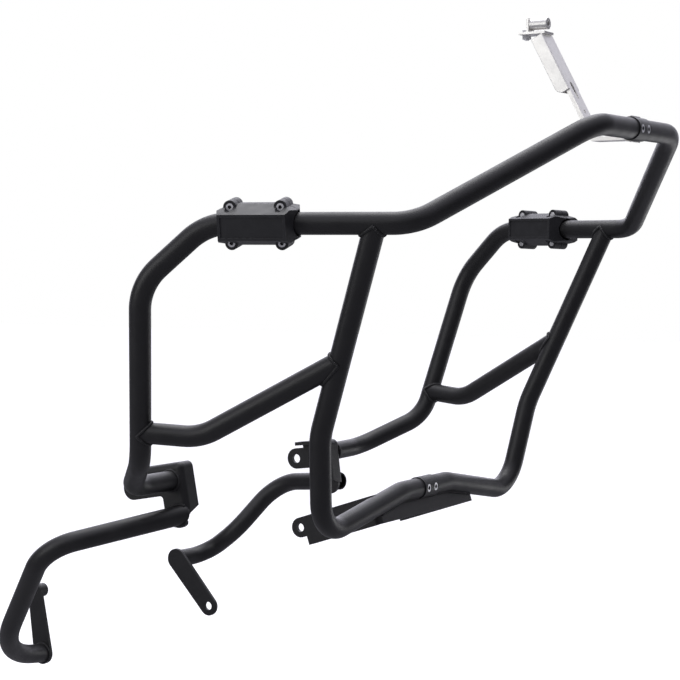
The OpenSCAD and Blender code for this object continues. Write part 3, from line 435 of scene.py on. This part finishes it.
def build_tubes(side):
    """The four tubes of one side."""
    sign = 1.0 if side == "left" else -1.0
    turned = lambda run: [on_side(point, side) for point in run]
    web = lambda point, heading: onto_plane(point, heading, sign * WEB_X)
    plate = lambda point, heading: onto_plane(point, heading, sign * PLATE_X)
    swept_tube(f"{side}_main_tube", turned(MAIN_RUN), MAIN_BENDS, end=web)

    down = turned(DOWN_RUN)
    rail = on_side(RAIL_REAR, side) - on_side(RAIL_FRONT, side)
    swept_tube(f"{side}_down_tube", down, DOWN_BENDS,
               start=lambda point, heading: onto_tube(point, heading, down[0], rail))

    cross = turned(CROSS_RUN)
    leg = on_side(FOOT, side) - on_side(SHOULDER, side)
    swept_tube(f"{side}_cross_tube", cross, CROSS_BENDS,
               start=lambda point, heading: onto_tube(point, heading, cross[0], leg),
               end=lambda point, heading: onto_tube(point, -heading, cross[2], down[1] - down[0]))

    if side == "left":
        beside = lambda point: Vector((max(point.x, WEB_X), point.y, point.z)) \
            if point.y < BESIDE_END else point
        swept_tube("left_rear_tube", LEFT_REAR_RUN, LEFT_REAR_BENDS, end=plate, clear=beside)
    else:
        swept_tube("right_rear_tube", turned(RIGHT_REAR_RUN), RIGHT_REAR_BENDS,
                   start=web, end=plate)


for side in ("right", "left"):
    build_tubes(side)
    dressed(f"{side}_frame_bracket", POWDER, bevel=0.7)
    dressed(f"{side}_rear_plate", POWDER, bevel=0.7, smooth_angle=30)
    dressed(f"{side}_top_coupler", POWDER, bevel=0.4)
    dressed(f"{side}_bottom_coupler", POWDER, bevel=0.4)
    dressed(f"{side}_slider_outer", MOULDED, bevel=1.1)
    dressed(f"{side}_slider_inner", MOULDED, bevel=1.1)
    dressed(f"{side}_slider_bolts", ZINC, bevel=0.5)
    dressed(f"{side}_slider_nuts", ZINC, bevel=0.4)
dressed("right_rear_spacer", POWDER, bevel=0.6)
dressed("engine_bracket", POWDER, bevel=0.7)
for name in ("top_coupler_bolts", "bottom_coupler_bolts", "stay_clip_bolt", "stay_clip_nut"):
    dressed(name, ZINC, bevel=0.4)
for name in ("stay_bar", "stay_saddle", "stay_channel", "stay_clip", "stay_bushing"):
    dressed(name, SATIN, bevel=0.5)


# ---------------------------------------------------------------- weld beads

# Bead radii, and how far bead lines lie off the surfaces that they join (millimetres)
JOINT_BEAD = 2.3
PLATE_BEAD = 1.9
BRACKET_BEAD = 1.8
JOINT_RISE = 0.3
PLATE_RISE = 0.6
SADDLE_GAP = 0.3
# Ripples of a bead, as shares of its radius
PITCH_SHARE = 0.80
LENGTH_SHARE = 0.62
# The two seams beside the left rear tube's end
SIDE_STEPS = 12
SIDE_START = 1.0
SIDE_PITCH = 2.0
SIDE_LIFT = 1.2
SIDE_HALF = 8.4
SIDE_FALL = 0.25
# The seams under the bottom run
UNDER_STEPS = 60
UNDER_INSET = 9.0
UNDER_RISE = 0.4
UNDER_LIFT = 0.5
LOBE_PAST = 4.0


def sockets_of(tree, inputs):
    """Named inputs of a geometry tree; gives the identifiers by name."""
    names = {}
    for label, kind, value in inputs:
        socket = tree.interface.new_socket(name=label, in_out="INPUT", socket_type=kind)
        if value is not None:
            socket.default_value = value
        names[label] = socket.identifier
    return names


def bead_tree():
    """Rippled weld bead along a curve: a round core with one flattened drop per ripple."""
    tree = bpy.data.node_groups.new("weld_bead", "GeometryNodeTree")
    names = sockets_of(tree, [
        ("Path", "NodeSocketGeometry", None),
        ("Bead Radius", "NodeSocketFloat", 0.0024),
        ("Ripple Pitch", "NodeSocketFloat", 0.0019),
        ("Ripple Length", "NodeSocketFloat", 0.0017),
        ("Seed", "NodeSocketInt", 7),
        ("Finish", "NodeSocketMaterial", None)])
    tree.interface.new_socket(name="Bead", in_out="OUTPUT", socket_type="NodeSocketGeometry")
    link = tree.links.new
    given = node_of(tree, "NodeGroupInput", (-900, 0))
    out = node_of(tree, "NodeGroupOutput", (900, 0))
    steps = node_of(tree, "GeometryNodeResampleCurve", (-650, 0), mode="LENGTH")
    link(given.outputs["Path"], steps.inputs["Curve"])
    link(given.outputs["Ripple Pitch"], steps.inputs["Length"])
    core_size = node_of(tree, "ShaderNodeMath", (-650, -250), operation="MULTIPLY",
                        inputs={1: 0.86})
    link(given.outputs["Bead Radius"], core_size.inputs[0])
    ring = node_of(tree, "GeometryNodeCurvePrimitiveCircle", (-450, -250),
                   inputs={"Resolution": 10})
    link(core_size.outputs[0], ring.inputs["Radius"])
    core = node_of(tree, "GeometryNodeCurveToMesh", (-200, -100))
    core.inputs["Fill Caps"].default_value = True
    link(steps.outputs["Curve"], core.inputs["Curve"])
    link(ring.outputs["Curve"], core.inputs["Profile Curve"])
    drop = node_of(tree, "GeometryNodeMeshUVSphere", (-450, -450),
                   inputs={"Segments": 12, "Rings": 6, "Radius": 1.0})
    heading = node_of(tree, "GeometryNodeInputTangent", (-450, 250))
    aim = node_of(tree, "FunctionNodeAlignRotationToVector", (-250, 250), axis="Z")
    link(heading.outputs["Tangent"], aim.inputs["Vector"])
    wobble = node_of(tree, "FunctionNodeRandomValue", (-450, 500), data_type="FLOAT")
    wobble.inputs[2].default_value = 0.94
    wobble.inputs[3].default_value = 1.07
    link(given.outputs["Seed"], wobble.inputs["Seed"])
    wide = node_of(tree, "ShaderNodeMath", (-250, 450), operation="MULTIPLY")
    link(wobble.outputs[1], wide.inputs[0])
    link(given.outputs["Bead Radius"], wide.inputs[1])
    size = node_of(tree, "ShaderNodeCombineXYZ", (-50, 450))
    link(wide.outputs[0], size.inputs["X"])
    link(wide.outputs[0], size.inputs["Y"])
    link(given.outputs["Ripple Length"], size.inputs["Z"])
    drops = node_of(tree, "GeometryNodeInstanceOnPoints", (150, 150))
    link(steps.outputs["Curve"], drops.inputs["Points"])
    link(drop.outputs["Mesh"], drops.inputs["Instance"])
    link(aim.outputs["Rotation"], drops.inputs["Rotation"])
    link(size.outputs["Vector"], drops.inputs["Scale"])
    both = node_of(tree, "GeometryNodeJoinGeometry", (350, 0))
    link(core.outputs["Mesh"], both.inputs["Geometry"])
    link(drops.outputs["Instances"], both.inputs["Geometry"])
    real = node_of(tree, "GeometryNodeRealizeInstances", (500, 0))
    link(both.outputs["Geometry"], real.inputs["Geometry"])
    soft = node_of(tree, "GeometryNodeSetShadeSmooth", (620, 0))
    link(real.outputs["Geometry"], soft.inputs["Geometry"])
    paint = node_of(tree, "GeometryNodeSetMaterial", (750, 0))
    link(soft.outputs["Geometry"], paint.inputs["Geometry"])
    link(given.outputs["Finish"], paint.inputs["Material"])
    link(paint.outputs["Geometry"], out.inputs["Bead"])
    return tree, names


def rim_points(place, heading, grow, count=72):
    """Points round a tube at one place."""
    u, v = ring_axes(heading)
    turns = [2 * math.pi * i / count for i in range(count)]
    return [place + (TUBE_R + grow) * (math.cos(a) * u + math.sin(a) * v) for a in turns]


def saddle_path(joint, branch_to, main_dir):
    """Where a branch tube meets the side of another tube."""
    away = (branch_to - joint).normalized()
    rim = rim_points(joint, away, JOINT_RISE)
    return [onto_tube(point, away, joint, main_dir, gap=SADDLE_GAP) for point in rim], True


def plate_path(inner, outer, plane_x, kept=None):
    """Where a straight tube between two points meets a flat plate face."""
    heading = (outer - inner).normalized()
    rim = rim_points(inner, heading, PLATE_RISE)
    path = [onto_plane(point, heading, plane_x) for point in rim]
    if kept is None:
        return path, True
    inside = [kept(point) for point in path]
    first = next(i for i in range(len(path)) if inside[i] and not inside[i - 1])
    ordered = path[first:] + path[:first]
    return [point for point in ordered if kept(point)], False


def side_seams():
    """The two short seams where the left rear tube lies against the bracket."""
    start, heading = LEFT_REAR_RUN[0], (LEFT_REAR_RUN[1] - LEFT_REAR_RUN[0]).normalized()
    paths = []
    for sign in (-1, 1):
        line = []
        for i in range(SIDE_STEPS):
            middle = start + heading * (SIDE_START + SIDE_PITCH * i)
            drop = max(0.0, middle.x - WEB_X - BORE_R) * SIDE_FALL
            height = middle.z + sign * (SIDE_HALF - drop)
            line.append(Vector((WEB_X + SIDE_LIFT + drop, middle.y, height)))
        paths.append((line, False))
    return paths


def lay_bead(name, paths, tree, names, radius, seed):
    """Curves through the paths, turned into one plain mesh of beads."""
    data = bpy.data.curves.new(name + "_line", "CURVE")
    data.dimensions = "3D"
    for points, closed in paths:
        line = data.splines.new("POLY")
        line.points.add(len(points) - 1)
        for slot, point in zip(line.points, points):
            slot.co = (*(point * MM), 1)
        line.use_cyclic_u = closed
    guide = bpy.data.objects.new(name + "_line", data)
    bpy.context.collection.objects.link(guide)
    grow = guide.modifiers.new("bead", "NODES")
    grow.node_group = tree
    grow[names["Bead Radius"]] = radius * MM
    grow[names["Ripple Pitch"]] = radius * PITCH_SHARE * MM
    grow[names["Ripple Length"]] = radius * LENGTH_SHARE * MM
    grow[names["Seed"]] = seed
    grow[names["Finish"]] = POWDER
    bpy.context.view_layer.update()
    shown = guide.evaluated_get(bpy.context.evaluated_depsgraph_get())
    mesh = bpy.data.meshes.new_from_object(shown)
    mesh.name = name
    bpy.data.objects.remove(guide)
    piece = bpy.data.objects.new(name, mesh)
    bpy.context.collection.objects.link(piece)
    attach(piece, "root")


def other_side(paths):
    """The same paths on the bike's right side."""
    return [([Vector((-p.x, p.y, p.z)) for p in points], closed) for points, closed in paths]


def bracket_seams():
    """Seams between the engine bracket's front plate and the bottom run, both faces."""
    paths = []
    normal = Vector((0, math.cos(ARM_TILT), -math.sin(ARM_TILT)))
    for depth, sign in ((ARM_FRONT, -1), (ARM_FRONT - SHEET, 1)):
        seat = -depth * normal
        points = []
        for i in range(UNDER_STEPS + 1):
            x = -ARM_X + UNDER_INSET + (2 * ARM_X - 2 * UNDER_INSET) * i / UNDER_STEPS
            rise = 0.0
            if abs(x) > RUN_BEND.x:
                share = (abs(x) - RUN_BEND.x) / (CORNER.x - RUN_BEND.x)
                rise = (CORNER.z - RUN_BEND.z) * share
            centre = Vector((x, RUN_BEND.y, RUN_BEND.z + rise))
            gap = (centre - seat).dot(normal)
            reach = TUBE_R + UNDER_RISE
            if abs(gap) >= reach:
                continue
            down = Vector((0, -math.sin(ARM_TILT), -math.cos(ARM_TILT)))
            point = centre - gap * normal + math.sqrt(reach ** 2 - gap ** 2) * down
            points.append(point + sign * UNDER_LIFT * normal)
        paths.append((points, False))
    return paths


def side_welds(side):
    """All the welds of one side's tubes."""
    joints = [
        saddle_path(CROSS_JOINT, ELBOW, FOOT - SHOULDER),
        saddle_path(DOWN_JOINT, KNEE, RAIL_REAR - RAIL_FRONT),
        saddle_path(CROSS_END, ELBOW, KNEE - DOWN_JOINT)]
    plates = [plate_path(ANCHOR, HEEL, WEB_X)]
    if side == "right":
        on_lobe = lambda point: (point - LOW_LOBE).length < LOBE_R \
            or point.y > LOW_LOBE.y + LOBE_PAST
        plates.append(plate_path(RIGHT_REAR_RUN[0], RIGHT_REAR_RUN[1], WEB_X, kept=on_lobe))
        plates.append(plate_path(RIGHT_REAR_RUN[3], RIGHT_REAR_RUN[2], PLATE_X))
        joints, plates = other_side(joints), other_side(plates)
    else:
        plates.append(plate_path(LEFT_REAR_RUN[4], LEFT_REAR_RUN[3], PLATE_X))
        plates.extend(side_seams())
    lay_bead(f"{side}_joint_welds", joints, BEAD, BEAD_NAMES, radius=JOINT_BEAD, seed=3)
    lay_bead(f"{side}_plate_welds", plates, BEAD, BEAD_NAMES, radius=PLATE_BEAD, seed=5)


BEAD, BEAD_NAMES = bead_tree()
for side in ("right", "left"):
    side_welds(side)
lay_bead("engine_bracket_welds", bracket_seams(), BEAD, BEAD_NAMES, radius=BRACKET_BEAD,
         seed=9)


# ---------------------------------------------------------------- studio

BEHIND = Vector((0.854, 0.518, 0.05)).normalized()
SKY_TOP = 1.22
SKY_LOW = 0.055
SKY_BEHIND = 2.3
SKY_TINT = (0.90, 0.89, 1.0, 1)
# Cosine from BEHIND at which its glow starts
GLOW_EDGE = 0.62
FLOOR_DROP = 0.30
FLOOR_REACH = 14.0
FLOOR_GLOW = 0.42
PAPER = (0.86, 0.86, 0.86, 1)
DIM_PAPER = (0.25, 0.25, 0.26, 1)
# Soft boxes: name, place, aim, size and power in watts
SOFTBOXES = [
    ("overhead", (0.55, 0.4, 2.2), (0.0, 0.05, 0.2), (2.0, 1.6), 27.0),
    ("key", (-2.3, 0.2, 1.5), (0.0, 0.05, 0.2), (1.2, 1.0), 4.0),
    ("side", (-2.1, 1.05, 0.65), (0.0, -0.35, 0.5), (1.0, 1.2), 9.0),
    ("low", (1.9, -0.6, -0.40), (0.0, -0.3, 0.25), (1.2, 0.7), 4.0)]
# The photograph's camera, fitted to the tubes
CAMERA_PLACE = (-2.0186, -1.2091, 0.3479)
CAMERA_AZIMUTH = math.radians(-58.74)
CAMERA_ELEVATION = math.radians(2.88)
CAMERA_SHIFT = (-0.0012, 0.0012)
SENSOR = 36.0
FOCAL_PIXELS = 1800
PHOTO_PIXELS = 680


def studio_world():
    """White to the camera; to the part a soft sky, bright overhead and on the far side."""
    world = bpy.data.worlds.new("studio")
    bpy.context.scene.world = world
    world.use_nodes = True
    tree = world.node_tree
    tree.nodes.clear()
    link = tree.links.new
    out = node_of(tree, "ShaderNodeOutputWorld", (800, 0))
    coords = node_of(tree, "ShaderNodeTexCoord", (-1000, 0))
    split = node_of(tree, "ShaderNodeSeparateXYZ", (-800, 100))
    link(coords.outputs["Generated"], split.inputs["Vector"])
    height = node_of(tree, "ShaderNodeMapRange", (-600, 100),
                     inputs={"From Min": -0.1, "From Max": 1.0})
    link(split.outputs["Z"], height.inputs["Value"])
    above = node_of(tree, "ShaderNodeMath", (-400, 100), operation="POWER", inputs={1: 2.0})
    link(height.outputs["Result"], above.inputs[0])
    sky = node_of(tree, "ShaderNodeMath", (-200, 100), operation="MULTIPLY_ADD",
                  inputs={1: SKY_TOP, 2: SKY_LOW})
    link(above.outputs[0], sky.inputs[0])
    facing = node_of(tree, "ShaderNodeVectorMath", (-800, -150), operation="DOT_PRODUCT",
                     inputs={1: BEHIND})
    link(coords.outputs["Generated"], facing.inputs[0])
    wall = node_of(tree, "ShaderNodeMapRange", (-600, -150),
                   inputs={"From Min": GLOW_EDGE, "From Max": 1.0,
                           "To Max": SKY_BEHIND})
    link(facing.outputs["Value"], wall.inputs["Value"])
    total = node_of(tree, "ShaderNodeMath", (0, 0), operation="ADD")
    link(sky.outputs[0], total.inputs[0])
    link(wall.outputs["Result"], total.inputs[1])
    soft = node_of(tree, "ShaderNodeBackground", (200, -100), inputs={"Color": SKY_TINT})
    link(total.outputs[0], soft.inputs["Strength"])
    white = node_of(tree, "ShaderNodeBackground", (200, 100),
                    inputs={"Color": (1, 1, 1, 1), "Strength": 1.0})
    rays = node_of(tree, "ShaderNodeLightPath", (200, 400))
    seen = node_of(tree, "ShaderNodeMixShader", (500, 0))
    link(rays.outputs["Is Camera Ray"], seen.inputs["Fac"])
    link(soft.outputs["Background"], seen.inputs[1])
    link(white.outputs["Background"], seen.inputs[2])
    link(seen.outputs["Shader"], out.inputs["Surface"])


def softbox(name, place, aim, size, power):
    """A rectangular area lamp at a place, turned towards the aim."""
    lamp = bpy.data.lights.new(name, "AREA")
    lamp.shape = "RECTANGLE"
    lamp.size, lamp.size_y = size
    lamp.energy = power
    obj = bpy.data.objects.new(name, lamp)
    obj.location = place
    obj.rotation_mode = "QUATERNION"
    obj.rotation_quaternion = (Vector(aim) - Vector(place)).to_track_quat("-Z", "Y")
    bpy.context.collection.objects.link(obj)


def pale_floor(height):
    """A plain floor under the part: white paper to the camera, dim to the part itself."""
    mesh = bpy.data.meshes.new("floor")
    corners = ((-1, -1), (1, -1), (1, 1), (-1, 1))
    mesh.from_pydata([(x * FLOOR_REACH, y * FLOOR_REACH, height) for x, y in corners], [],
                     [(0, 1, 2, 3)])
    mat = bpy.data.materials.new("floor_paper")
    mat.use_nodes = True
    tree = mat.node_tree
    link = tree.links.new
    shader = tree.nodes["Principled BSDF"]
    paper = node_of(tree, "ShaderNodeMix", (-200, 100), data_type="RGBA")
    paper.inputs[6].default_value = DIM_PAPER
    paper.inputs[7].default_value = PAPER
    shader.inputs["Roughness"].default_value = 0.9
    shader.inputs["Specular IOR Level"].default_value = 0.0
    glow = node_of(tree, "ShaderNodeEmission", (0, -300), inputs={"Strength": FLOOR_GLOW})
    none = node_of(tree, "ShaderNodeEmission", (0, -450), inputs={"Strength": 0.0})
    rays = node_of(tree, "ShaderNodeLightPath", (-400, -200))
    link(rays.outputs["Is Camera Ray"], paper.inputs["Factor"])
    link(paper.outputs[2], shader.inputs["Base Color"])
    pick = node_of(tree, "ShaderNodeMixShader", (200, -300))
    link(rays.outputs["Is Camera Ray"], pick.inputs["Fac"])
    link(none.outputs["Emission"], pick.inputs[1])
    link(glow.outputs["Emission"], pick.inputs[2])
    add = node_of(tree, "ShaderNodeAddShader", (400, 0))
    link(shader.outputs["BSDF"], add.inputs[0])
    link(pick.outputs["Shader"], add.inputs[1])
    link(add.outputs["Shader"], tree.nodes["Material Output"].inputs["Surface"])
    mesh.materials.append(mat)
    floor = bpy.data.objects.new("floor", mesh)
    bpy.context.collection.objects.link(floor)


def photo_camera():
    """The photograph's own viewpoint, fitted to the tubes."""
    level = math.cos(CAMERA_ELEVATION)
    back = Vector((math.sin(CAMERA_AZIMUTH) * level, -math.cos(CAMERA_AZIMUTH) * level,
                   math.sin(CAMERA_ELEVATION)))
    data = bpy.data.cameras.new("camera")
    data.sensor_width = SENSOR
    data.lens = SENSOR * FOCAL_PIXELS / PHOTO_PIXELS
    data.shift_x, data.shift_y = CAMERA_SHIFT
    data.clip_start = 0.05
    data.clip_end = 60.0
    camera = bpy.data.objects.new("camera", data)
    camera.location = CAMERA_PLACE
    camera.rotation_mode = "QUATERNION"
    camera.rotation_quaternion = (-back).to_track_quat("-Z", "Y")
    bpy.context.collection.objects.link(camera)
    bpy.context.scene.camera = camera


studio_world()
pale_floor(cad_low.z - FLOOR_DROP)
for row in SOFTBOXES:
    softbox(*row)
photo_camera()
bpy.context.scene.view_settings.view_transform = "Standard"
